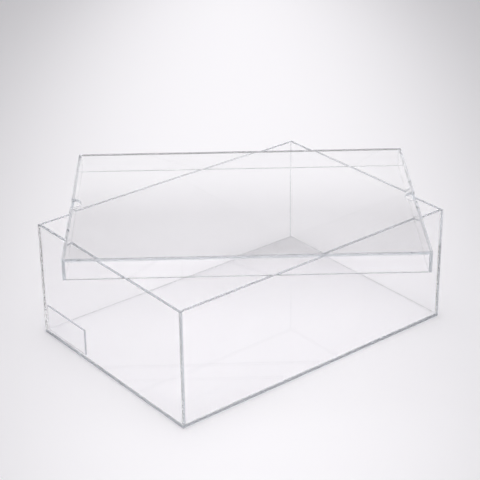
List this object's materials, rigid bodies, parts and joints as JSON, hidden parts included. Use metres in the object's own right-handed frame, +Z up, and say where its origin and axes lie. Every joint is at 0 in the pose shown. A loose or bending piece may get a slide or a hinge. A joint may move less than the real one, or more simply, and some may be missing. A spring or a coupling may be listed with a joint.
{
  "type": "shoe box",
  "caption": "Clear acrylic shoe display box cemented from flat sheet, with a loose slip-over lid lying askew on its walls and a small label plate inside one end.",
  "frame": {"origin": "centre of the base's underside", "axes": "+X along the box's long side, away from the end with the label plate; +Y from the front wall to the back wall; +Z up. The lid's long side is turned 37.35 degrees clockwise, seen from above."},
  "size_m": [0.43, 0.411, 0.147],
  "materials": {
    "box_acrylic": "clear colourless acrylic sheet, polished faces and edges",
    "lid_acrylic": "clear colourless acrylic sheet, polished faces and edges",
    "label_acrylic": "thin clear colourless acrylic sheet"
  },
  "bodies": {
    "box": {"base_panel": "box_acrylic", "front_wall": "box_acrylic", "back_wall": "box_acrylic", "left_end_wall": "box_acrylic", "right_end_wall": "box_acrylic", "label_plate": "label_acrylic"},
    "lid": {"lid_top_plate": "lid_acrylic", "lid_front_rim": "lid_acrylic", "lid_back_rim": "lid_acrylic", "lid_left_rim": "lid_acrylic", "lid_right_rim": "lid_acrylic"}
  },
  "joints": [
    {"name": "lid_lift", "type": "slide", "parent": "box", "child": "lid", "axis": [0, 0, 1], "range_m": [0, 0.15]}
  ]
}
